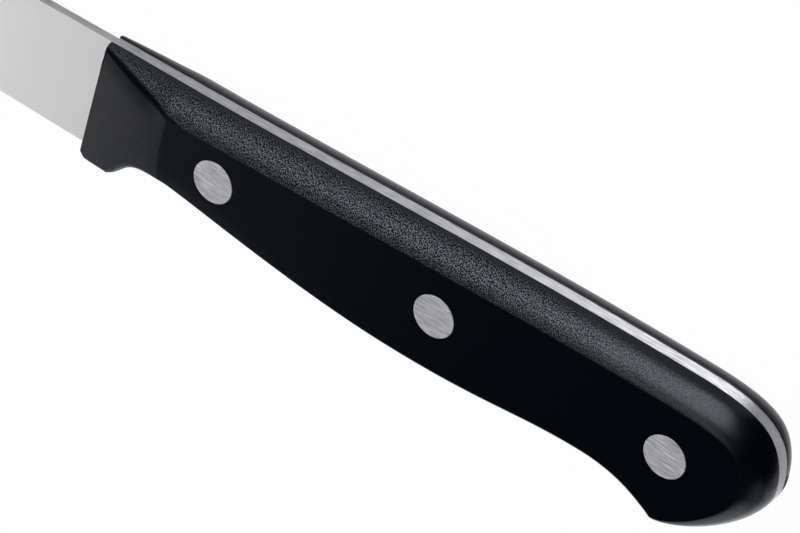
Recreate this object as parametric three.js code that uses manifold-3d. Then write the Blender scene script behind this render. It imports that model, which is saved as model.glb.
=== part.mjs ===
// Steak knife: a full-tang blade between two handle scales, held by three two-part rivets.
// Millimetres, +Z up. The knife lies on its right side, with its tip towards -X and its spine towards +Y.

import * as THREE from 'three';
import { mergeVertices, toCreasedNormals } from 'three/addons/utils/BufferGeometryUtils.js';
import Module from 'manifold-3d';

const wasm = await Module();
wasm.setup();

// Lengths and thicknesses
const handleLength = 108.4;
const bladeLength = 120;
const tangThickness = 1.8;
const scaleThickness = 4;

// Handle outline, seen from the left side: X from the handle's front, Y from the line through the rivets
const frontLean = 0.079; // the front edge runs this far ahead for each millimetre down
const spineAtFront = 8.2;
const spineSlope = 0.022; // rise of the spine where the blade meets the handle
const crestFromButt = 18.4;
const crestHeight = 10.9;
const buttHeight = 0.8; // height of the rearmost point
const hookFromButt = 13.8;
const hookDepth = 11.15;
const waistFromButt = 25.5;
const waistDepth = 7.7;
const bellyFromFront = 53;
const bellyDepth = 9.63;
const neckFromFront = 14.2;
const neckDepth = 5.82;
const heelLength = 4.6;
const heelDepth = 11.28;
const soleSlope = 0.139; // rise of the heel's sole towards the neck
const toeRadius = 1;
const browRadius = 0.7; // upper front corner

// How long each curve holds its direction after its start and before its end, as shares of its chord
const neckArms = [0.154, 0.653];
const bellyArms = [0.093, 0.43];
const waistArms = [0.52, 0.31];
const hookArms = [0.53, 0.12];
const buttArms = [0.31, 0.24];
const crestArms = [0.5, 0.46];
const spineArms = [0.32, 0.44];

// Edges of the scales
const spineInset = 3.4; // how far the rounded edge rolls in from the outline, along the spine
const bellyInset = 1.25; // the same, along the belly
const frontInset = 0.3; // the same, along the front edge and behind the heel, which stay nearly sharp
const insetFade = 3.2; // above 1, the change from spine to belly comes late, below the butt
const shoulderSweep = 82; // degrees of the round that is left below the flat side

// Front relief, where the scales thin down to the blade
const reliefLength = 13.6;
const reliefFront = 1.15; // thickness left at the front
const reliefBulge = 0.3; // crown of the slope above a straight ramp

// Rivets
const rivetFromFront = 22.4;
const rivetPitch = 36;
const headDiameter = 6.35;
const headThickness = 1.9;
const sleeveDiameter = 4;
const postDiameter = 2.6;
const boreFloor = 0.6; // metal under the sleeve's blind bore, above its head
const leadIn = 0.25; // chamfers at the sleeve's mouth and the post's end
const endGap = 0.4; // room left past the ends of post and sleeve
const slipFit = 0.04; // radial clearance of everything that slides in a bore

// Blade
const heelHeight = 18.3;
const tipHeight = -1.5; // height of the tip over the line through the rivets
const tipWidth = 0.5;
const tipSpineSlope = 0.18; // fall of the spine at the tip
const tipEdgeSlope = 0.45; // rise of the edge at the tip
const bladeSpineArms = [0.35, 0.25]; // as for the handle's outline
const bladeEdgeArms = [0.5, 0.15];
const spineAtHeel = 1.3; // thickness of the ground spine beside the handle
const spineAtTip = 0.8;
const edgeThickness = 0.4; // behind the bevel of the cutting edge
const bevelWidth = 0.5;
const bevelLimit = 0.4; // the most that the bevel takes of the blade's height, near the tip
const grindRelief = 0.05; // the ground spine lies this far below the tang's edge
const rootOverlap = 3; // the blade's root inside the handle

// Fineness of the facets
const facetLength = 1.8;
const stepsPerCurve = 8; // at least, on a short curve
const shoulderSteps = 7;
const reliefSteps = 12;
const roundSides = 32;
const bladeSteps = 24;
const creaseAngle = 25; // degrees, above which an edge is shaded as sharp
const rootCrowding = 1.4; // above 1, the blade's sections crowd towards its root

const halfTang = tangThickness / 2;
const halfHandle = halfTang + scaleThickness;
const rivetPlaces = [0, 1, 2].map((i) => rivetFromFront + i * rivetPitch);

// A closed geometry through rings of equally many points, capped at both ends
function loft(rings, flatten) {
  const count = rings[0].length;
  const last = (rings.length - 1) * count;
  const faces = [];
  for (let start = 0; start < last; start += count) {
    for (let j = 0; j < count; j++) {
      const here = start + j;
      const next = start + ((j + 1) % count);
      faces.push(here, next, next + count, here, next + count, here + count);
    }
  }
  const cap = (ring) => THREE.ShapeUtils.triangulateShape(ring.map(flatten), []);
  for (const [a, b, c] of cap(rings[0])) faces.push(c, b, a);
  for (const [a, b, c] of cap(rings.at(-1))) faces.push(last + a, last + b, last + c);
  return new THREE.BufferGeometry().setFromPoints(rings.flat()).setIndex(faces);
}

function toSolid(geometry) {
  geometry.deleteAttribute('normal');
  geometry.deleteAttribute('uv');
  const merged = mergeVertices(geometry);
  const vertProperties = new Float32Array(merged.attributes.position.array);
  const triVerts = new Uint32Array(merged.index.array);
  return new wasm.Manifold(new wasm.Mesh({ numProp: 3, vertProperties, triVerts }));
}

function toGeometry(solid) {
  const { vertProperties, triVerts } = solid.getMesh();
  const geometry = new THREE.BufferGeometry();
  geometry.setAttribute('position', new THREE.BufferAttribute(vertProperties, 3));
  geometry.setIndex(new THREE.BufferAttribute(triVerts, 1));
  return geometry;
}

// A round bar along Z between two heights, for cutting bores
function roundBar(x, radius, bottom, top) {
  const bar = new THREE.CylinderGeometry(radius, radius, top - bottom, roundSides);
  bar.rotateX(Math.PI / 2).translate(x, 0, (top + bottom) / 2);
  return toSolid(bar);
}

const frontAt = (y) => frontLean * y;

// A curve that leaves and arrives along given directions
function bend(start, end, leaveAlong, arriveAlong, [leaveArm, arriveArm]) {
  const chord = start.distanceTo(end);
  const leave = start.clone().addScaledVector(leaveAlong, leaveArm * chord);
  const arrive = end.clone().addScaledVector(arriveAlong, -arriveArm * chord);
  return new THREE.CubicBezierCurve(start, leave, arrive, end);
}

// Handle outline, anticlockwise from the toe: sole, neck, belly, waist, hook, butt, crest, spine and front
function handleOutline() {
  const rearward = new THREE.Vector2(1, 0);
  const upward = new THREE.Vector2(0, 1);
  const forward = new THREE.Vector2(-1, 0);
  const alongSpine = new THREE.Vector2(-1, -spineSlope);
  const alongSole = new THREE.Vector2(1, soleSlope);
  const toe = new THREE.Vector2(frontAt(-heelDepth), -heelDepth);
  const overToe = new THREE.Vector2(frontAt(toeRadius - heelDepth), toeRadius - heelDepth);
  const sole = toe.clone().addScaledVector(alongSole, toeRadius);
  const heel = toe.clone().addScaledVector(alongSole, heelLength - toe.x);
  const neck = new THREE.Vector2(neckFromFront, -neckDepth);
  const belly = new THREE.Vector2(bellyFromFront, -bellyDepth);
  const waist = new THREE.Vector2(handleLength - waistFromButt, -waistDepth);
  const hook = new THREE.Vector2(handleLength - hookFromButt, -hookDepth);
  const butt = new THREE.Vector2(handleLength, buttHeight);
  const crest = new THREE.Vector2(handleLength - crestFromButt, crestHeight);
  const brow = new THREE.Vector2(frontAt(spineAtFront), spineAtFront);
  const behindBrow = brow.clone().addScaledVector(alongSpine, -browRadius);
  const underBrow = new THREE.Vector2(frontAt(spineAtFront - browRadius), spineAtFront - browRadius);
  return [
    new THREE.LineCurve(sole, heel),
    bend(heel, neck, alongSole, rearward, neckArms),
    bend(neck, belly, rearward, rearward, bellyArms),
    bend(belly, waist, rearward, rearward, waistArms),
    bend(waist, hook, rearward, rearward, hookArms),
    bend(hook, butt, rearward, upward, buttArms),
    bend(butt, crest, upward, forward, crestArms),
    bend(crest, behindBrow, forward, alongSpine, spineArms),
    new THREE.QuadraticBezierCurve(behindBrow, brow, underBrow),
    new THREE.LineCurve(underBrow, overToe),
    new THREE.QuadraticBezierCurve(overToe, toe, sole),
  ];
}

// Thickness of the scale, which grows along the front relief and then stays
function thicknessAt(x) {
  const along = Math.min(x / reliefLength, 1);
  const ramp = reliefFront + (scaleThickness - reliefFront) * along;
  return ramp + 4 * reliefBulge * along * (1 - along);
}

// Points along the outline, with few on its straight stretches
function outlinePoints() {
  return handleOutline().flatMap((curve) => {
    const steps = Math.max(stepsPerCurve, Math.ceil(curve.getLength() / facetLength));
    return curve.getPoints(curve.isLineCurve ? 1 : steps).slice(1);
  });
}

// The same points with the directions that point into the handle
function outlineWithNormals() {
  const points = outlinePoints();
  return points.map((point, i) => {
    const before = points.at(i - 1);
    const after = points[(i + 1) % points.length];
    const along = after.clone().sub(before).normalize();
    return { point, inward: new THREE.Vector2(-along.y, along.x) };
  });
}

// A scale lies on the tang at Z = 0. Its edge rolls in along an elliptic round that shrinks where the scale
// thins, and stock is left above the round for the flat side and the front relief.
function scaleGeometry() {
  const sweep = THREE.MathUtils.degToRad(shoulderSweep);
  const edge = outlineWithNormals();
  const rings = [];
  for (let i = 0; i <= shoulderSteps; i++) {
    const turned = (sweep * i) / shoulderSteps;
    const risen = Math.sin(turned) / Math.sin(sweep);
    const rolled = (1 - Math.cos(turned)) / (1 - Math.cos(sweep));
    rings.push(edge.map(({ point, inward }) => {
      const thickness = thicknessAt(point.x);
      const sideInset = THREE.MathUtils.lerp(spineInset, bellyInset, ((1 + inward.y) / 2) ** insetFade);
      const facesEnd = inward.x > 0 || point.x < neckFromFront;
      const endInset = facesEnd ? frontInset : sideInset;
      const shrunk = (rolled * thickness) / scaleThickness;
      const x = point.x + inward.x * endInset * shrunk;
      const y = point.y + inward.y * sideInset * shrunk;
      return new THREE.Vector3(x, y, risen * thickness);
    }));
  }
  rings.push(rings.at(-1).map(({ x, y }) => new THREE.Vector3(x, y, 2 * scaleThickness)));
  let solid = toSolid(loft(rings, ({ x, y }) => new THREE.Vector2(x, y)));
  solid = solid.subtract(topCutter());
  for (const x of rivetPlaces) {
    const seat = scaleThickness - headThickness;
    solid = solid.subtract(roundBar(x, sleeveDiameter / 2 + slipFit, -scaleThickness, 2 * scaleThickness));
    solid = solid.subtract(roundBar(x, headDiameter / 2 + slipFit, seat, 2 * scaleThickness));
  }
  return toGeometry(solid);
}

// Everything above the flat side and the front relief
function topCutter() {
  const ahead = -reliefLength / 2;
  const behind = 2 * handleLength;
  const above = 3 * scaleThickness;
  const profile = new THREE.Shape();
  profile.moveTo(ahead, above);
  for (let i = 0; i <= reliefSteps; i++) {
    const x = THREE.MathUtils.lerp(ahead, reliefLength, i / reliefSteps);
    profile.lineTo(x, thicknessAt(x));
  }
  profile.lineTo(behind, scaleThickness);
  profile.lineTo(behind, above);
  const width = 4 * Math.max(crestHeight, hookDepth);
  const cutter = new THREE.ExtrudeGeometry(profile, { depth: width, bevelEnabled: false });
  return toSolid(cutter.rotateX(Math.PI / 2).translate(0, width / 2, 0));
}

// The ground blade, from a root inside the handle to the tip: a wedge with a fine bevel along its edge
function bladeSolid() {
  const edgeHeight = spineAtFront - heelHeight;
  const rootTop = new THREE.Vector2(rootOverlap, spineAtFront + spineSlope * rootOverlap - grindRelief);
  const rootFoot = new THREE.Vector2(rootOverlap, edgeHeight);
  const tipTop = new THREE.Vector2(-bladeLength, tipHeight + tipWidth / 2);
  const tipFoot = new THREE.Vector2(-bladeLength, tipHeight - tipWidth / 2);
  const alongSpine = new THREE.Vector2(-1, -spineSlope);
  const forward = new THREE.Vector2(-1, 0);
  const spine = bend(rootTop, tipTop, alongSpine, new THREE.Vector2(-1, -tipSpineSlope), bladeSpineArms);
  const edge = bend(rootFoot, tipFoot, forward, new THREE.Vector2(-1, tipEdgeSlope), bladeEdgeArms);
  const rings = [];
  for (let i = 0; i <= bladeSteps; i++) {
    const along = (i / bladeSteps) ** rootCrowding;
    const top = spine.getPoint(along);
    const foot = edge.getPoint(along);
    const back = THREE.MathUtils.lerp(spineAtHeel, spineAtTip, along) / 2;
    const thin = edgeThickness / 2;
    const bevel = Math.min(bevelWidth / (top.y - foot.y), bevelLimit);
    const bevelX = THREE.MathUtils.lerp(foot.x, top.x, bevel);
    const bevelY = THREE.MathUtils.lerp(foot.y, top.y, bevel);
    rings.push([
      new THREE.Vector3(top.x, top.y, back),
      new THREE.Vector3(top.x, top.y, -back),
      new THREE.Vector3(bevelX, bevelY, -thin),
      new THREE.Vector3(foot.x, foot.y, 0),
      new THREE.Vector3(bevelX, bevelY, thin),
    ]);
  }
  return toSolid(loft(rings, ({ y, z }) => new THREE.Vector2(z, y)));
}

function bladeAndTangGeometry() {
  const plate = new THREE.Shape(outlinePoints());
  const tang = new THREE.ExtrudeGeometry(plate, { depth: tangThickness, bevelEnabled: false });
  let solid = toSolid(tang.translate(0, 0, -halfTang)).add(bladeSolid());
  for (const x of rivetPlaces) {
    solid = solid.subtract(roundBar(x, sleeveDiameter / 2 + slipFit, -tangThickness, tangThickness));
  }
  return toGeometry(solid);
}

// A turned rivet half on the Z axis, from a profile of radius and height that starts and ends on the axis
function turned(profile) {
  const points = profile.map(([radius, height]) => new THREE.Vector2(radius, height));
  return new THREE.LatheGeometry(points, roundSides).rotateX(Math.PI / 2);
}

function sleeveGeometry() {
  const seat = headThickness - halfHandle;
  const mouth = halfHandle - headThickness - endGap;
  const bore = postDiameter / 2 + slipFit;
  return turned([
    [0, -halfHandle],
    [headDiameter / 2, -halfHandle],
    [headDiameter / 2, seat],
    [sleeveDiameter / 2, seat],
    [sleeveDiameter / 2, mouth - leadIn],
    [sleeveDiameter / 2 - leadIn, mouth],
    [bore + leadIn, mouth],
    [bore, mouth - leadIn],
    [bore, seat + boreFloor],
    [0, seat + boreFloor],
  ]);
}

function postGeometry() {
  const seat = halfHandle - headThickness;
  const end = headThickness - halfHandle + boreFloor + endGap;
  return turned([
    [0, end],
    [postDiameter / 2 - leadIn, end],
    [postDiameter / 2, end + leadIn],
    [postDiameter / 2, seat],
    [headDiameter / 2, seat],
    [headDiameter / 2, halfHandle],
    [0, halfHandle],
  ]);
}

const steel = new THREE.MeshStandardMaterial({ color: 0xc9c9cc, roughness: 0.32, metalness: 1 });
const rivetMetal = new THREE.MeshStandardMaterial({ color: 0xbdbdbf, roughness: 0.4, metalness: 1 });
const blackPlastic = new THREE.MeshStandardMaterial({ color: 0x121214, roughness: 0.5, metalness: 0 });

const knife = new THREE.Group();

function addPiece(name, geometry, material) {
  const piece = new THREE.Mesh(toCreasedNormals(geometry, THREE.MathUtils.degToRad(creaseAngle)), material);
  piece.name = name;
  knife.add(piece);
  return piece;
}

addPiece('blade_and_tang', bladeAndTangGeometry(), steel);
const leftScale = addPiece('left_scale', scaleGeometry(), blackPlastic);
leftScale.position.z = halfTang;
const rightScale = addPiece('right_scale', scaleGeometry(), blackPlastic);
rightScale.position.z = -halfTang;
rightScale.scale.z = -1;
['front', 'middle', 'rear'].forEach((place, i) => {
  addPiece(`${place}_rivet_sleeve`, sleeveGeometry(), rivetMetal).position.x = rivetPlaces[i];
  addPiece(`${place}_rivet_post`, postGeometry(), rivetMetal).position.x = rivetPlaces[i];
});

// Laid on its right side, with the origin under the middle of its box
const box = new THREE.Box3().setFromObject(knife);
const middle = box.getCenter(new THREE.Vector3());
knife.position.set(-middle.x, -middle.y, -box.min.z);

export default knife;
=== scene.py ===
import math

import bpy
import numpy as np
from mathutils import Matrix, Quaternion, Vector
from mathutils.geometry import delaunay_2d_cdt


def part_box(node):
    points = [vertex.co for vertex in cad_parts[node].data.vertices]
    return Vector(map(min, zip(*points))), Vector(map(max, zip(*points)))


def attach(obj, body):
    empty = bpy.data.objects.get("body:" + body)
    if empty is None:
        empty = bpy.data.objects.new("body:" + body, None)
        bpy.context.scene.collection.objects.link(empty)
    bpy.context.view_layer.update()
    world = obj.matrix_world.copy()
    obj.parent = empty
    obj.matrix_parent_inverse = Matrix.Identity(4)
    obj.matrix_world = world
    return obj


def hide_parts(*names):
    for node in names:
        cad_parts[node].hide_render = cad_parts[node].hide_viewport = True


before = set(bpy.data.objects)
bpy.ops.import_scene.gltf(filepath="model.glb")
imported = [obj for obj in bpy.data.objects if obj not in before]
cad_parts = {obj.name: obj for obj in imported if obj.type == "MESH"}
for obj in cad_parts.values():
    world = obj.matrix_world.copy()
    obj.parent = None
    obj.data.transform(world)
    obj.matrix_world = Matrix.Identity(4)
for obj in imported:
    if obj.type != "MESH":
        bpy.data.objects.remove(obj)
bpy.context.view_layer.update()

# Everything is drawn in millimetres: X from the handle's front, Y from the line through the rivets
# and Z from the middle of the tang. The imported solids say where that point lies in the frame.
millimetre = 0.001
rivet = {
    "fromFront": 22.4,
    "pitch": 36.0,
    "headRadius": 3.175,
    "headThickness": 1.9,
    "postRadius": 1.3,
    "sleeveRadius": 2.0,
    "clearance": 0.04,  # round the head in its seat, and round the post in the sleeve
    "edgeRound": 0.07,
    "edgeMiddle": 0.3,  # where the middle of that rounding lies, as a share of it
    "mouthGap": 0.4,  # between the sleeve's mouth and the post's head
    "boreFloor": 0.8,  # of the sleeve, above its head
    "postEnd": 1.0,  # of the post, above the sleeve's head
    "sides": 96,
    "smoothAngle": 12,
}
rivetPlaces = {
    "front": rivet["fromFront"],
    "middle": rivet["fromFront"] + rivet["pitch"],
    "rear": rivet["fromFront"] + 2 * rivet["pitch"],
}
headLow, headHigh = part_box("middle_rivet_post")
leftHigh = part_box("left_scale")[1]
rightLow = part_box("right_scale")[0]
origin = Vector((
    (headLow.x + headHigh.x) / 2 - rivetPlaces["middle"] * millimetre,
    (headLow.y + headHigh.y) / 2,
    (leftHigh.z + rightLow.z) / 2,
))


def toFrame(points):
    return np.asarray(points, float) * millimetre + np.array(origin)


def newPiece(name, points, faces, smoothAngle, marks=None):
    mesh = bpy.data.meshes.new(name)
    mesh.from_pydata(toFrame(points).tolist(), [], faces)
    for label, values in (marks or {}).items():
        layer = mesh.attributes.new(label, "FLOAT", "POINT")
        layer.data.foreach_set("value", np.asarray(values, np.float32))
    mesh.validate()
    piece = bpy.data.objects.new(name, mesh)
    bpy.context.scene.collection.objects.link(piece)
    mesh.shade_smooth()
    mesh.set_sharp_from_angle(angle=math.radians(smoothAngle))
    return piece


# Faces between rings that have the same number of points, and over the first and the last ring
def wallFaces(ringCount, sides):
    faces = []
    for r in range(ringCount - 1):
        for i in range(sides):
            j = (i + 1) % sides
            faces.append((r * sides + i, r * sides + j, (r + 1) * sides + j, (r + 1) * sides + i))
    return faces


def endFaces(ringCount, sides):
    last = (ringCount - 1) * sides
    return [tuple(reversed(range(sides))), tuple(range(last, last + sides))]


def circle(x, radius):
    angles = np.linspace(0, 2 * math.pi, rivet["sides"], endpoint=False)
    return [(x + radius * math.cos(a), radius * math.sin(a)) for a in angles]


# Points and unit tangents of a Bezier curve of any degree, without its start
def bezier(controls, steps):
    controls = np.asarray(controls, float)
    t = np.linspace(0, 1, steps + 1)[1:, None]
    layers = controls[None] * np.ones((steps, 1, 1))
    while layers.shape[1] > 2:
        layers = layers[:, :-1] * (1 - t[:, None]) + layers[:, 1:] * t[:, None]
    places = layers[:, 0] * (1 - t) + layers[:, 1] * t
    along = layers[:, 1] - layers[:, 0]
    return places, along / np.linalg.norm(along, axis=1, keepdims=True)


def bend(start, end, leaveAlong, arriveAlong, arms):
    start, end = np.array(start), np.array(end)
    chord = np.linalg.norm(end - start)
    leave = start + np.array(leaveAlong) * arms[0] * chord
    arrive = end - np.array(arriveAlong) * arms[1] * chord
    return [start, leave, arrive, end]


def eased(value, low, high):
    share = np.clip((value - low) / (high - low), 0, 1)
    return share * share * (3 - 2 * share)


# Outline of the handle, anticlockwise from the toe of its heel. A bend's two arms say how long it holds
# its direction after its start and before its end, as shares of its chord.
handle = {
    "frontLean": 0.079,
    "spineAtFront": 8.2,
    "spineSlope": 0.022,
    "crest": (90.0, 10.9),
    "butt": (108.4, 0.8),
    "hook": (94.6, -11.15),
    "waist": (82.9, -7.7),
    "belly": (53.0, -9.63),
    "neck": (14.2, -5.82),
    "heelLength": 4.7,
    "heelDepth": 11.28,
    "soleSlope": 0.139,
    "toeRadius": 1.5,
    "browRadius": 0.3,  # upper front corner
    "neckArms": (0.155, 0.655),
    "bellyArms": (0.093, 0.43),
    "waistArms": (0.52, 0.31),
    "hookArms": (0.53, 0.12),
    "buttArms": (0.31, 0.24),
    "crestArms": (0.5, 0.46),
    "spineArms": (0.32, 0.44),
    "pointSpacing": 0.3,
    "fewestSteps": 10,
}


def frontAt(y):
    return np.array((handle["frontLean"] * y, y))


def handleOutline():
    rearward, upward, forward = (1, 0), (0, 1), (-1, 0)
    alongSpine = np.array((-1, -handle["spineSlope"]))
    alongSole = np.array((1, handle["soleSlope"]))
    toe = frontAt(-handle["heelDepth"])
    overToe = frontAt(handle["toeRadius"] - handle["heelDepth"])
    sole = toe + alongSole * handle["toeRadius"]
    heel = toe + alongSole * (handle["heelLength"] - toe[0])
    brow = frontAt(handle["spineAtFront"])
    behindBrow = brow - alongSpine * handle["browRadius"]
    underBrow = frontAt(handle["spineAtFront"] - handle["browRadius"])
    curves = [
        [sole, heel],
        bend(heel, handle["neck"], alongSole, rearward, handle["neckArms"]),
        bend(handle["neck"], handle["belly"], rearward, rearward, handle["bellyArms"]),
        bend(handle["belly"], handle["waist"], rearward, rearward, handle["waistArms"]),
        bend(handle["waist"], handle["hook"], rearward, rearward, handle["hookArms"]),
        bend(handle["hook"], handle["butt"], rearward, upward, handle["buttArms"]),
        bend(handle["butt"], handle["crest"], upward, forward, handle["crestArms"]),
        bend(handle["crest"], behindBrow, forward, alongSpine, handle["spineArms"]),
        [behindBrow, brow, underBrow],
        [underBrow, overToe],
        [overToe, toe, sole],
    ]
    points, tangents = [], []
    for controls in curves:
        length = np.linalg.norm(np.diff(np.array(controls), axis=0), axis=1).sum()
        steps = max(handle["fewestSteps"], math.ceil(length / handle["pointSpacing"]))
        places, along = bezier(controls, steps)
        points.append(places)
        tangents.append(along)
    points, tangents = np.vstack(points), np.vstack(tangents)
    return points, np.column_stack((-tangents[:, 1], tangents[:, 0]))


outline, inward = handleOutline()
print("outline:", len(outline), "points")

# The scales: a rolled edge round a flat side, thinned down to the blade by a relief at the front
scale = {
    "halfTang": 0.9,
    "thickness": 4.0,
    "spineInset": 3.55,  # how far the edge rolls in along the spine
    "bellyInset": 1.25,
    "frontInset": 0.3,
    "insetFade": 5.5,  # above 1, the change from spine to belly comes late, below the butt
    "sideTurn": (0.3, 0.9),  # how far the edge has to face the spine or the belly to count as that side
    "browFall": 3.0,  # how far under the brow the roll of the spine reaches
    "proud": 0.15,  # past the tang, along the spine
    "proudFront": 0.13,  # more of the same at the front
    "proudFade": (2.0, 24.0),
    "sweep": math.radians(82),
    "shoulderSteps": 30,
    "reliefLength": 13.3,
    "reliefFront": 1.15,  # thickness left at the front
    "reliefBulge": 0.3,
    "reliefSoftness": 0.008,
    "grooveWidth": 0.05,  # beside the tang
    "ridgeDrop": 0.22,  # rounding of the ridge between relief and rolled edge
    "ridgeWidth": 3.0,
    "ridgeFade": (9.5, 13.6),
    "ridgeReach": 18.0,
    "crownDrop": 0.09,  # fall of the flat side towards the belly
    "crownWidth": 2.2,
    "crownFade": (88.0, 95.0),
    "smoothRidge": math.radians(36),  # of the rolled edge, beside the relief, that isn't blasted
    "smoothLength": 16.5,
    "smoothFade": 1.6,
    "blastFade": math.radians(4),
    "blastFadeAtFront": math.radians(16),
    "rimLoops": (0.12, 0.35, 0.8, 1.4, 2.1),  # insets of the loops inside the rim
    "reliefColumns": (0.5, 13.3, 0.3),
    "creaseColumns": (-0.12, -0.04, 0.04, 0.12),  # beside the end of the relief
    "rearColumns": (14.0, 17.0, 0.3),
    "gridRows": (-12.0, 11.0, 0.5),
    "weldReach": 1e-5,
    "smoothAngle": 40,
}
spineSide = eased(-inward[:, 1], *scale["sideTurn"])
bellySide = eased(inward[:, 1], *scale["sideTurn"])
crownDrop = scale["crownDrop"] * bellySide * (1 - eased(outline[:, 0], *scale["crownFade"]))


def thicknessAt(x):
    along = x / scale["reliefLength"]
    rise = scale["thickness"] - scale["reliefFront"]
    bulge = 4 * scale["reliefBulge"]
    curved = scale["reliefFront"] + rise * along + bulge * along * (1 - along)
    straight = scale["thickness"] + (rise - bulge) * (along - 1)
    missing = scale["thickness"] - np.where(along < 1, curved, straight)
    return scale["thickness"] - (missing + np.sqrt(missing ** 2 + scale["reliefSoftness"] ** 2)) / 2


def ridgeDropAt(x, share):
    return scale["ridgeDrop"] * (1 - eased(x, *scale["ridgeFade"])) * share


# The edge of a scale, turned so far up from the tang
def shoulderRing(turned, extraInset=0.0):
    risen = math.sin(turned) / math.sin(scale["sweep"])
    rolled = (1 - math.cos(turned)) / (1 - math.cos(scale["sweep"]))
    thickness = thicknessAt(outline[:, 0])
    bellyShare = ((1 + inward[:, 1]) / 2) ** scale["insetFade"]
    sideInset = scale["spineInset"] + (scale["bellyInset"] - scale["spineInset"]) * bellyShare
    facesEnd = (inward[:, 0] > 0) | (outline[:, 0] < handle["neck"][0])
    endInset = np.where(facesEnd, scale["frontInset"], sideInset)
    shrunk = rolled * thickness / scale["thickness"]
    browShare = eased(outline[:, 1], handle["spineAtFront"] - scale["browFall"], handle["spineAtFront"])
    underBrow = (inward[:, 0] > 0) & (inward[:, 1] < 0)
    downward = np.where(underBrow, np.minimum(-browShare, inward[:, 1]), inward[:, 1])
    proud = scale["proud"] + scale["proudFront"] * (1 - eased(outline[:, 0], *scale["proudFade"]))
    proud = proud * spineSide
    x = outline[:, 0] + inward[:, 0] * (endInset * shrunk + extraInset - proud)
    y = outline[:, 1] + inward[:, 1] * (extraInset - proud) + downward * sideInset * shrunk
    dropped = ridgeDropAt(outline[:, 0], spineSide) + crownDrop
    return np.column_stack((x, y, risen * (thickness - dropped)))


def shoulderRings(turns):
    rings = [shoulderRing(0, scale["grooveWidth"])]
    for turned in turns:
        rings.append(shoulderRing(turned) + (0, 0, scale["grooveWidth"] * math.cos(turned)))
    rimX = rings[-1][:, 0]
    rings[-1][:, 2] = thicknessAt(rimX) - ridgeDropAt(rimX, spineSide) - crownDrop
    return rings


def loopEdges(start, count):
    return [(start + i, start + (i + 1) % count) for i in range(count)]


# Plan of the flat side: the rim, loops inside it, the rivets' bores, and a grid over the relief
def flatPlan(rim):
    points = [*rim]
    edges = loopEdges(0, len(rim))
    for inset in scale["rimLoops"]:
        points += [*(rim + inward * inset)]
    bores = {}
    for x in rivetPlaces.values():
        bores[x] = range(len(points), len(points) + rivet["sides"])
        edges += loopEdges(len(points), rivet["sides"])
        points += circle(x, rivet["headRadius"])
    crease = scale["reliefLength"] + np.array(scale["creaseColumns"])
    for x in (*np.arange(*scale["reliefColumns"]), *crease, *np.arange(*scale["rearColumns"])):
        points += [(x, y) for y in np.arange(*scale["gridRows"])]
    return [Vector(point) for point in points], edges, bores


def heightOnFlat(place, rim, ridge):
    toRidge = np.linalg.norm(ridge - place, axis=1).min() / scale["ridgeWidth"]
    toRim = np.linalg.norm(rim - place, axis=1)
    nearest = toRim.argmin()
    drop = ridgeDropAt(place[0], max(1 - toRidge, 0) ** 2)
    drop += crownDrop[nearest] * max(1 - toRim[nearest] / scale["crownWidth"], 0) ** 2
    return float(thicknessAt(place[0]) - drop)


# Marks for the plastic: flatSide runs from 0 on the blasted edge to 1 on the flat side, and rolled from 0
# at the tang to 1 at the rim. Beyond the fade, flatSide goes on by a half.
def finishMarks(turns, flatCount):
    count = len(outline)
    nearFront = 1 - np.clip(outline[:, 0] / scale["smoothLength"], 0, 1) ** scale["smoothFade"]
    nearFront = nearFront * spineSide
    blastEnd = scale["sweep"] - scale["smoothRidge"] * nearFront
    fade = scale["blastFade"] + (scale["blastFadeAtFront"] - scale["blastFade"]) * nearFront
    flat = [np.clip((turned - blastEnd) / fade + 0.5, 0, 1) for turned in turns]
    rolled = np.repeat(turns / scale["sweep"], count)
    return {
        "flatSide": np.concatenate((np.full(count, -0.5), *flat, np.full(flatCount, 1.5))),
        "rolled": np.concatenate((np.zeros(count), rolled, np.ones(flatCount))),
    }


def buildScale(name, side):
    turns = np.linspace(0, scale["sweep"], scale["shoulderSteps"] + 1)
    rings = shoulderRings(turns)
    count = len(outline)
    points = [*np.vstack(rings)]
    faces = wallFaces(len(rings), count)
    rim = rings[-1][:, :2]
    rimStart = len(points) - count
    ridge = rim[(spineSide > 0.5) & (rim[:, 0] < scale["ridgeReach"])]
    plan, edges, bores = flatPlan(rim)
    found, _, triangles, sources, _, _ = delaunay_2d_cdt(plan, edges, [], 1, scale["weldReach"])
    used = {i for triangle in triangles for i in triangle}
    numbers, numberOf = [], {}  # in the mesh, by points of the triangles and by points of the plan
    for index, (place, source) in enumerate(zip(found, sources)):
        onRim = [s for s in source if s < count]
        numbers.append(rimStart + onRim[0] if onRim else len(points))
        numberOf.update((s, numbers[-1]) for s in source)
        if index in used and not onRim:
            points.append((*place, heightOnFlat(np.array(place), rim, ridge)))
    brims = {x: [numberOf[i] for i in bore] for x, bore in bores.items()}
    for triangle in triangles:
        face = tuple(numbers[i] for i in triangle)
        if not any(set(face) <= set(brim) for brim in brims.values()):
            faces.append(face)
    # Bores down to the seats of the rivet heads
    for x, brim in brims.items():
        seat = range(len(points), len(points) + rivet["sides"])
        height = scale["thickness"] - rivet["headThickness"]
        points += [(*place, height) for place in circle(x, rivet["headRadius"])]
        for i in range(rivet["sides"]):
            j = (i + 1) % rivet["sides"]
            faces.append((brim[j], seat[j], seat[i], brim[i]))
        faces.append(tuple(seat))
    faces.append(tuple(reversed(range(count))))  # the side that lies on the tang
    points = np.array(points)
    points[:, 2] = side * (points[:, 2] + scale["halfTang"])
    if side < 0:
        faces = [tuple(reversed(face)) for face in faces]
    marks = finishMarks(turns, len(points) - len(rings) * count)
    return newPiece(name, points, faces, scale["smoothAngle"], marks)


leftScale = buildScale("left_handle_scale", 1)
rightScale = buildScale("right_handle_scale", -1)
print("scales:", len(leftScale.data.polygons), "faces each")

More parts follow.
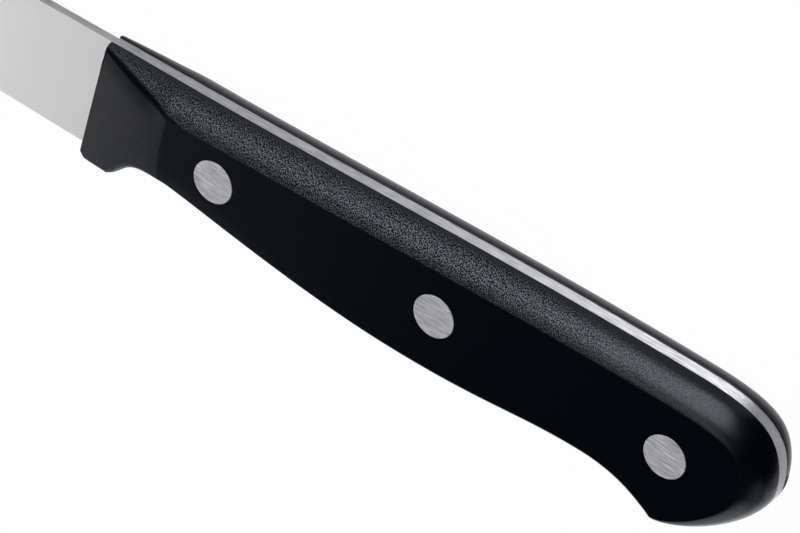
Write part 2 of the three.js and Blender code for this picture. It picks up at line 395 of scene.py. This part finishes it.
# Blade and tang, in one piece of steel
blade = {
    "length": 120.0,
    "heelHeight": 18.3,
    "tipHeight": -1.5,
    "tipWidth": 0.5,
    "tipSpineSlope": 0.18,
    "tipEdgeSlope": 0.45,
    "spineArms": (0.35, 0.25),
    "edgeArms": (0.5, 0.15),
    "spineAtHeel": 1.3,  # thickness
    "spineAtTip": 0.8,
    "edgeThickness": 0.4,  # behind the bevel of the cutting edge
    "bevelWidth": 0.2,
    "bevelLimit": 0.16,  # the most that the bevel takes of the blade's height, near the tip
    "grindRelief": 0.005,  # below the tang's spine
    "rootOverlap": 3.0,
    "sections": 240,
    "smoothAngle": 10,
    "spineFacing": 0.9,  # faces that face the spine more than this are brushed like the tang
}


def buildTang():
    count = len(outline)
    heights = (-scale["halfTang"], scale["halfTang"])
    rings = [np.column_stack((outline, np.full(count, height))) for height in heights]
    return np.vstack(rings), wallFaces(len(rings), count) + endFaces(len(rings), count)


def buildBlade():
    spineSlope = handle["spineSlope"]
    root = blade["rootOverlap"]
    rootTop = (root, handle["spineAtFront"] + spineSlope * root - blade["grindRelief"])
    rootFoot = (root, handle["spineAtFront"] - blade["heelHeight"])
    tipTop = (-blade["length"], blade["tipHeight"] + blade["tipWidth"] / 2)
    tipFoot = (-blade["length"], blade["tipHeight"] - blade["tipWidth"] / 2)
    spine = bend(rootTop, tipTop, (-1, -spineSlope), (-1, -blade["tipSpineSlope"]), blade["spineArms"])
    edge = bend(rootFoot, tipFoot, (-1, 0), (-1, blade["tipEdgeSlope"]), blade["edgeArms"])
    tops, _ = bezier(spine, blade["sections"])
    feet, _ = bezier(edge, blade["sections"])
    rings = []
    for i, (top, foot) in enumerate(zip(tops, feet)):
        along = (i + 1) / blade["sections"]
        back = (blade["spineAtHeel"] + (blade["spineAtTip"] - blade["spineAtHeel"]) * along) / 2
        thin = blade["edgeThickness"] / 2
        bevel = min(blade["bevelWidth"] / (top[1] - foot[1]), blade["bevelLimit"])
        turn = foot + (top - foot) * bevel
        rings.append([(*top, back), (*top, -back), (*turn, -thin), (*foot, 0), (*turn, thin)])
    sides = len(rings[0])
    return np.array(rings).reshape(-1, 3), wallFaces(len(rings), sides) + endFaces(len(rings), sides)


tangPoints, tangFaces = buildTang()
bladePoints, bladeFaces = buildBlade()
bladeFaces = [tuple(i + len(tangPoints) for i in face) for face in bladeFaces]
steelPoints = np.vstack((tangPoints, bladePoints))
bladePiece = newPiece("blade_with_tang", steelPoints, tangFaces + bladeFaces, blade["smoothAngle"])
print("blade and tang:", len(bladePiece.data.polygons), "faces")


# Rivets: a solid half from the left side and a tubular half from the right side
def rivetProfiles():
    face = scale["halfTang"] + scale["thickness"]
    seat = face - rivet["headThickness"]
    mouth = seat - rivet["mouthGap"]
    head = rivet["headRadius"] - rivet["clearance"]
    bore = rivet["postRadius"] + rivet["clearance"]
    soft = rivet["edgeRound"]
    middle = rivet["edgeMiddle"] * soft
    post = [
        (rivet["postRadius"], rivet["postEnd"] - seat),
        (rivet["postRadius"], seat),
        (head, seat),
        (head, face - soft),
        (head - middle, face - middle),
        (head - soft, face),
    ]
    sleeve = [
        (head - soft, -face),
        (head - middle, middle - face),
        (head, soft - face),
        (head, -seat),
        (rivet["sleeveRadius"], -seat),
        (rivet["sleeveRadius"], mouth),
        (bore, mouth),
        (bore, rivet["boreFloor"] - seat),
    ]
    return {"post": post, "sleeve": sleeve}


def turnedPiece(name, x, profile):
    points = [(*place, height) for radius, height in profile for place in circle(x, radius)]
    faces = wallFaces(len(profile), rivet["sides"]) + endFaces(len(profile), rivet["sides"])
    return newPiece(name, points, faces, rivet["smoothAngle"])


rivetPieces = []
for place, x in rivetPlaces.items():
    for half, profile in rivetProfiles().items():
        piece = turnedPiece(f"{place}_{half}_half", x, profile)
        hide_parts(f"{place}_rivet_{half}")
        rivetPieces.append(piece)
print("rivets:", len(rivetPieces))


# Materials
def newMaterial(name):
    material = bpy.data.materials.new(name)
    material.use_nodes = True
    tree = material.node_tree
    return material, tree, tree.nodes["Principled BSDF"]


def addNode(tree, kind, inputs=None, **settings):
    node = tree.nodes.new(kind)
    for key, value in settings.items():
        setattr(node, key, value)
    for key, value in (inputs or {}).items():
        if isinstance(value, bpy.types.NodeSocket):
            tree.links.new(value, node.inputs[key])
        else:
            node.inputs[key].default_value = value
    return node


def maths(tree, operation, first, second):
    return addNode(tree, "ShaderNodeMath", {0: first, 1: second}, operation=operation).outputs[0]


def total(tree, first, *others):
    for other in others:
        first = maths(tree, "ADD", first, other)
    return first


def product(tree, first, *others):
    for other in others:
        first = maths(tree, "MULTIPLY", first, other)
    return first


# From low to high, in step with a share from 0 to 1
def between(tree, share, low, high):
    return total(tree, product(tree, share, high - low), low)


def ramped(tree, value, low, high, toLow=0.0, toHigh=1.0):
    inputs = {"Value": value, "From Min": low, "From Max": high, "To Min": toLow, "To Max": toHigh}
    return addNode(tree, "ShaderNodeMapRange", inputs, interpolation_type="SMOOTHSTEP").outputs[0]


def alongHandle(tree, x, span, toLow, toHigh):
    start, end = (origin.x + at * millimetre for at in span)
    return ramped(tree, x, start, end, toLow, toHigh)


def readMark(tree, label):
    return addNode(tree, "ShaderNodeAttribute", attribute_name=label).outputs["Fac"]


# Black plastic: smooth flat sides, a dull relief, and a finely blasted edge that glitters in small dots
plastic = {
    "colour": (0.0001, 0.0012, 0.0034, 1),
    "shineTint": (0.86, 0.905, 1.0, 1),
    "shine": 0.39,
    "reliefShine": 0.075,
    "grain": 16000.0,  # bumps in a metre
    "grainHeight": 0.00003,
    "grainOnBlast": 0.5,
    "grainOnRelief": 0.1,
    "raggedness": 0.3,  # of the line between the blasted edge and the flat side
    "flatSpan": (0.2, 0.8),
    "clouds": 2500.0,  # patches in a metre
    "cloudDetail": 3.0,
    "cloudShine": (0.6, 1.4),
    "dotsAlong": 5600.0,  # in a metre
    "dotsAcross": 21.0,  # from the tang to the flat side
    "dotReach": 0.5,  # of the dots' spacing
    "dotShine": (1.1, 3.5),
    "dullness": 0.28,  # between the dots
    "roughness": 0.21,
    "edgeRoughness": 0.05,
    "blastRoughness": 0.13,
    "reliefRoughness": 0.11,
    "reliefEnd": (-0.05, 0.15),  # beside the length of the relief
    "blastAtFront": 0.7,
    "blastFrontSpan": (-5.0, 40.0),
    "blastAtRear": 0.05,
    "blastRearSpan": (58.0, 102.0),
    "blastTurnedAway": 0.1,
    "turnedAwaySpan": (0.45, 0.8),
    "blastRolledSpan": (0.02, 0.24),
}


def makePlastic():
    material, tree, shader = newMaterial("black_handle_plastic")
    place = addNode(tree, "ShaderNodeTexCoord").outputs["Object"]
    x = addNode(tree, "ShaderNodeSeparateXYZ", {0: place}).outputs["X"]
    rolled = readMark(tree, "rolled")
    noise = {"Vector": place, "Scale": plastic["grain"], "Detail": 0.0}
    grain = addNode(tree, "ShaderNodeTexNoise", noise).outputs["Fac"]
    noise = {"Vector": place, "Scale": plastic["clouds"], "Detail": plastic["cloudDetail"]}
    cloud = addNode(tree, "ShaderNodeTexNoise", noise).outputs["Fac"]

    # Where the plastic is flat, relieved or blasted
    ragged = between(tree, grain, -plastic["raggedness"], plastic["raggedness"])
    flat = ramped(tree, total(tree, readMark(tree, "flatSide"), ragged), *plastic["flatSpan"])
    edge = maths(tree, "SUBTRACT", 1.0, flat)
    reliefEnd = [scale["reliefLength"] + step for step in plastic["reliefEnd"]]
    relief = product(tree, flat, alongHandle(tree, x, reliefEnd, 1.0, 0.0))
    facing = addNode(tree, "ShaderNodeLayerWeight", {"Blend": 0.5}).outputs["Facing"]
    blasted = product(
        tree,
        edge,
        alongHandle(tree, x, plastic["blastRearSpan"], 1.0, plastic["blastAtRear"]),
        alongHandle(tree, x, plastic["blastFrontSpan"], plastic["blastAtFront"], 1.0),
        ramped(tree, facing, *plastic["turnedAwaySpan"], 1.0, plastic["blastTurnedAway"]),
        ramped(tree, rolled, *plastic["blastRolledSpan"]),
    )

    # Dots spread evenly along and across the edge, each with its own shine
    along = product(tree, x, plastic["dotsAlong"])
    across = product(tree, rolled, plastic["dotsAcross"])
    spread = addNode(tree, "ShaderNodeCombineXYZ", {"X": along, "Y": across}).outputs[0]
    inputs = {"Vector": spread, "Scale": 1.0}
    cells = addNode(tree, "ShaderNodeTexVoronoi", inputs, voronoi_dimensions="2D").outputs
    dot = ramped(tree, cells["Distance"], 0.0, plastic["dotReach"], 1.0, 0.0)
    chance = addNode(tree, "ShaderNodeSeparateColor", {0: cells["Color"]}).outputs["Red"]
    glitter = product(tree, dot, between(tree, chance, *plastic["dotShine"]))
    glitter = maths(tree, "SUBTRACT", glitter, plastic["dullness"])

    shine = between(tree, relief, plastic["shine"], plastic["reliefShine"])
    shine = product(tree, shine, between(tree, cloud, *plastic["cloudShine"]))
    shine = total(tree, product(tree, glitter, blasted), shine)
    rough = total(
        tree,
        product(tree, edge, plastic["edgeRoughness"]),
        product(tree, blasted, plastic["blastRoughness"]),
        product(tree, relief, plastic["reliefRoughness"]),
        plastic["roughness"],
    )
    strength = total(
        tree,
        product(tree, blasted, plastic["grainOnBlast"]),
        product(tree, relief, plastic["grainOnRelief"]),
    )
    bumps = {"Height": grain, "Strength": strength, "Distance": plastic["grainHeight"]}
    tree.links.new(addNode(tree, "ShaderNodeBump", bumps).outputs[0], shader.inputs["Normal"])
    tree.links.new(shine, shader.inputs["Specular IOR Level"])
    tree.links.new(rough, shader.inputs["Roughness"])
    shader.inputs["Base Color"].default_value = plastic["colour"]
    shader.inputs["Specular Tint"].default_value = plastic["shineTint"]
    return material


# Steel with fine lines. Its highlights spread across the lines. The tang's butt is less evenly brushed, and
# it carries a painted highlight: its colour is made lighter there.
brushing = {
    "detail": 3.0,
    "roughness": 0.6,
    "span": (0.3, 0.7),  # of the noise, from the darkest to the lightest line
    "roughnessSpread": 0.05,
    "height": 0.00005,
}
tangFinish = {
    "colour": (0.65, 0.645, 0.675),
    "roughness": 0.42,
    "lines": (300.0, 9000.0, 9000.0),  # in a metre along X, Y and Z
    "across": (0, 0, 1),
    "anisotropy": 1.0,
    "contrast": 0.35,
    "depth": 0.4,
    "buttSpan": (101.5, 107.5),
    "buttRoughness": 0.2,  # more than before it
    "buttAnisotropy": 0.1,
    "buttMetal": 0.65,
    # painted highlight: how many times lighter the steel's colour is made at the butt
    "buttPaintedHighlight": 1.5,
}
bladeFinish = {
    "colour": (0.76, 0.75, 0.76),
    "roughness": 0.35,
    "lines": (6000.0, 200.0, 200.0),
    "across": (1, 0, 0),
    "anisotropy": 0.7,
    "contrast": 0.01,
    "depth": 0.08,
}
rivetFinish = {
    "colour": (0.62, 0.62, 0.645),
    "roughness": 0.43,
    "lines": (450.0, 11000.0, 11000.0),
    "across": (0, 1, 0),
    "anisotropy": 0.8,
    "contrast": 0.5,
    "depth": 0.5,
}


def makeSteel(name, finish):
    material, tree, shader = newMaterial(name)
    place = addNode(tree, "ShaderNodeTexCoord").outputs["Object"]
    stretched = addNode(tree, "ShaderNodeMapping", {"Vector": place, "Scale": finish["lines"]}).outputs[0]
    noise = {
        "Vector": stretched,
        "Scale": 1.0,
        "Detail": brushing["detail"],
        "Roughness": brushing["roughness"],
    }
    lines = addNode(tree, "ShaderNodeTexNoise", noise).outputs["Fac"]
    bumps = {"Height": lines, "Strength": finish["depth"], "Distance": brushing["height"]}
    tree.links.new(addNode(tree, "ShaderNodeBump", bumps).outputs[0], shader.inputs["Normal"])
    spaces = {"convert_from": "OBJECT", "convert_to": "WORLD"}
    across = addNode(tree, "ShaderNodeVectorTransform", {"Vector": finish["across"]}, **spaces)
    tree.links.new(across.outputs[0], shader.inputs["Tangent"])
    smoothest = finish["roughness"] - brushing["roughnessSpread"]
    roughest = finish["roughness"] + brushing["roughnessSpread"]
    rough = ramped(tree, lines, *brushing["span"], smoothest, roughest)
    shades = addNode(tree, "ShaderNodeValToRGB", {"Fac": lines})
    shares = (1 - finish["contrast"], 1 + finish["contrast"])
    for stop, at, share in zip(shades.color_ramp.elements, brushing["span"], shares):
        stop.position = at
        stop.color = (*(share * part for part in finish["colour"]), 1)
    shade = shades.outputs[0]
    shader.inputs["Metallic"].default_value = 1.0
    shader.inputs["Anisotropic"].default_value = finish["anisotropy"]
    if "buttSpan" in finish:
        span = finish["buttSpan"]
        x = addNode(tree, "ShaderNodeSeparateXYZ", {0: place}).outputs["X"]
        rough = total(tree, rough, alongHandle(tree, x, span, 0.0, finish["buttRoughness"]))
        # painted highlight: the steel's colour grows lighter towards the butt, standing in for brighter
        # light there
        paintedHighlight = alongHandle(tree, x, span, 1.0, finish["buttPaintedHighlight"])
        shade = addNode(tree, "ShaderNodeVectorMath", {0: shade, 3: paintedHighlight}, operation="SCALE").outputs[0]
        spread = alongHandle(tree, x, span, finish["anisotropy"], finish["buttAnisotropy"])
        tree.links.new(spread, shader.inputs["Anisotropic"])
        tree.links.new(alongHandle(tree, x, span, 1.0, finish["buttMetal"]), shader.inputs["Metallic"])
    tree.links.new(rough, shader.inputs["Roughness"])
    tree.links.new(shade, shader.inputs["Base Color"])
    return material


handlePlastic = makePlastic()
tangSteel = makeSteel("brushed_tang_steel", tangFinish)
bladeSteel = makeSteel("ground_blade_steel", bladeFinish)
rivetSteel = makeSteel("brushed_rivet_metal", rivetFinish)
for piece in (leftScale, rightScale):
    piece.data.materials.append(handlePlastic)
bladePiece.data.materials.append(tangSteel)
bladePiece.data.materials.append(bladeSteel)
for face in bladePiece.data.polygons:
    ground = face.index >= len(tangFaces) and face.normal.y < blade["spineFacing"]
    face.material_index = 1 if ground else 0
for piece in rivetPieces:
    piece.data.materials.append(rivetSteel)
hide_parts("left_scale")
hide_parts("right_scale")
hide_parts("blade_and_tang")
for piece in (leftScale, rightScale, bladePiece, *rivetPieces):
    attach(piece, "root")
print("materials: done")


# Floor and room are white to the camera and dim in reflections, and the floor keeps a soft shadow
def whiteToCamera(tree, surface, white, output, shares):
    rays = addNode(tree, "ShaderNodeLightPath").outputs
    seen = product(tree, rays["Is Camera Ray"], shares["seen"])
    mirrored = maths(tree, "MAXIMUM", rays["Is Glossy Ray"], rays["Is Transmission Ray"])
    share = maths(tree, "MAXIMUM", seen, product(tree, mirrored, shares["mirrored"]))
    mixed = addNode(tree, "ShaderNodeMixShader", {0: share, 1: surface, 2: white})
    tree.links.new(mixed.outputs[0], tree.nodes[output].inputs["Surface"])


def matt(shader, grey):
    shader.inputs["Base Color"].default_value = (grey, grey, grey, 1)
    shader.inputs["Roughness"].default_value = 1.0
    shader.inputs["Specular IOR Level"].default_value = 0.0


def flatSheet(name, points):
    mesh = bpy.data.meshes.new(name)
    mesh.from_pydata(points, [], [range(len(points))])
    sheet = bpy.data.objects.new(name, mesh)
    bpy.context.scene.collection.objects.link(sheet)
    return sheet


floorSet = {"reach": 3.0, "grey": 0.8, "seen": 0.985, "mirrored": 0.1}
reach = floorSet["reach"]
floor = flatSheet("floor", [(-reach, -reach, 0), (reach, -reach, 0), (reach, reach, 0), (-reach, reach, 0)])
floorMaterial, tree, shader = newMaterial("white_floor")
matt(shader, floorSet["grey"])
glow = addNode(tree, "ShaderNodeEmission", {"Color": (1, 1, 1, 1), "Strength": 1.0})
whiteToCamera(tree, shader.outputs[0], glow.outputs[0], "Material Output", floorSet)
floor.data.materials.append(floorMaterial)

room = {"grey": 0.005, "seen": 1.0, "mirrored": 0.005}
world = bpy.data.worlds.new("studio")
bpy.context.scene.world = world
world.use_nodes = True
tree = world.node_tree
backdrop = tree.nodes["Background"]
backdrop.inputs["Color"].default_value = (room["grey"], room["grey"], room["grey"], 1)
white = addNode(tree, "ShaderNodeBackground", {"Color": (1, 1, 1, 1), "Strength": 1.0})
whiteToCamera(tree, backdrop.outputs[0], white.outputs[0], "World Output", room)

# Softboxes, seen from the middle rivet: bearing from +Y, height and lean in degrees, lengths in metres
softboxes = {
    "spine_side_softbox": {
        "bearing": -13.5, "height": 36, "distance": 1.2,
        "width": 0.58, "tall": 1.9, "brightness": 3.25, "lean": 12,
    },
    "spine_fill_softbox": {
        "bearing": -62, "height": 38, "distance": 1.2,
        "width": 0.55, "tall": 1.3, "brightness": 0.75, "lean": 0,
    },
    "tip_side_softbox": {
        "bearing": -129, "height": 24, "distance": 1.4,
        "width": 0.8, "tall": 0.8, "brightness": 1.87, "lean": 0,
    },
    "overhead_softbox": {
        "bearing": -92, "height": 74, "distance": 1.2,
        "width": 0.9, "tall": 0.34, "brightness": 1.35, "lean": 0,
    },
    "belly_fill_softbox": {
        "bearing": 153, "height": 18, "distance": 1.25,
        "width": 1.8, "tall": 1.0, "brightness": 0.42, "lean": 0,
    },
    "belly_side_softbox": {
        "bearing": 171, "height": 14, "distance": 1.2,
        "width": 0.8, "tall": 0.8, "brightness": 0.5, "lean": 0,
    },
}
aim = Vector(((headLow.x + headHigh.x) / 2, (headLow.y + headHigh.y) / 2, headHigh.z))


def addSoftbox(name, box):
    bearing, height = math.radians(box["bearing"]), math.radians(box["height"])
    away = Vector((
        math.sin(bearing) * math.cos(height),
        math.cos(bearing) * math.cos(height),
        math.sin(height),
    ))
    lamp = bpy.data.lights.new(name, "AREA")
    lamp.shape = "ELLIPSE"
    lamp.size = box["width"]
    lamp.size_y = box["tall"]
    lamp.energy = math.pi * box["width"] * box["tall"] * box["brightness"]
    holder = bpy.data.objects.new(name, lamp)
    holder.location = aim + away * box["distance"]
    leant = Quaternion((0, 0, 1), -math.radians(box["lean"]))
    holder.rotation_euler = (away.to_track_quat("Z", "Y") @ leant).to_euler()
    bpy.context.scene.collection.objects.link(holder)


for name, box in softboxes.items():
    addSoftbox(name, box)

# Cards that lie on the floor and show only in reflections: a dark one behind the butt, a bright strip
# under the spine, and two white ones beside the belly, near and far. Corners are in millimetres.
cards = {
    "dark_card": {
        "grey": 0.04,
        "brightness": 0.0,
        "corners": [(104, 17), (116, 1), (2500, -1430), (2500, 1500), (220, 1400)],
    },
    "spine_card": {
        "grey": 0.1,
        "brightness": 0.9,
        "corners": [
            (-3, 5), (100, 7), (104, 5), (106, 0), (110.2, 0), (109.6, 3.5), (108, 7.5), (105, 10.3),
            (100, 12), (90, 12.5), (-3, 9.7),
        ],
    },
    "white_card": {
        "grey": 0.1,
        "brightness": 1.15,
        "corners": [(20, -2), (20, -40), (150, -40), (150, -27.7), (112, -3)],
    },
    "far_white_card": {
        "grey": 0.1,
        "brightness": 0.75,
        "corners": [(20, -40), (20, -2400), (1500, -2400), (2400, -1490), (150, -27.7), (150, -40)],
    },
}
cardHeight = 0.0003  # above the floor, in metres


def addCard(name, look):
    points = toFrame([(x, y, 0) for x, y in look["corners"]])
    points[:, 2] = cardHeight
    card = flatSheet(name, points.tolist())
    card.visible_camera = False
    card.visible_diffuse = False
    card.visible_shadow = False
    material, tree, shader = newMaterial(name)
    matt(shader, look["grey"])
    shader.inputs["Emission Color"].default_value = (1, 1, 1, 1)
    shader.inputs["Emission Strength"].default_value = look["brightness"]
    card.data.materials.append(material)


for name, look in cards.items():
    addCard(name, look)

# Camera, fitted to the photo's three rivet heads and outline
view = {
    "sensor": 36.0,
    "lens": 204.77,
    "fromRivet": (0.20592, 0.36014, 0.40481),  # in metres, from the middle rivet's head
    "right": (0.79614, 0.18173, -0.57718),
    "up": (-0.48153, 0.76791, -0.42242),
    "back": (0.36646, 0.61424, 0.69887),
}
cameraData = bpy.data.cameras.new("camera")
cameraData.sensor_width = view["sensor"]
cameraData.lens = view["lens"]
camera = bpy.data.objects.new("camera", cameraData)
bpy.context.scene.collection.objects.link(camera)
turn = Matrix((view["right"], view["up"], view["back"])).transposed()
camera.matrix_world = Matrix.Translation(aim + Vector(view["fromRivet"])) @ turn.to_4x4()
bpy.context.scene.camera = camera
bpy.context.scene.view_settings.view_transform = "Standard"
print("stage: done")
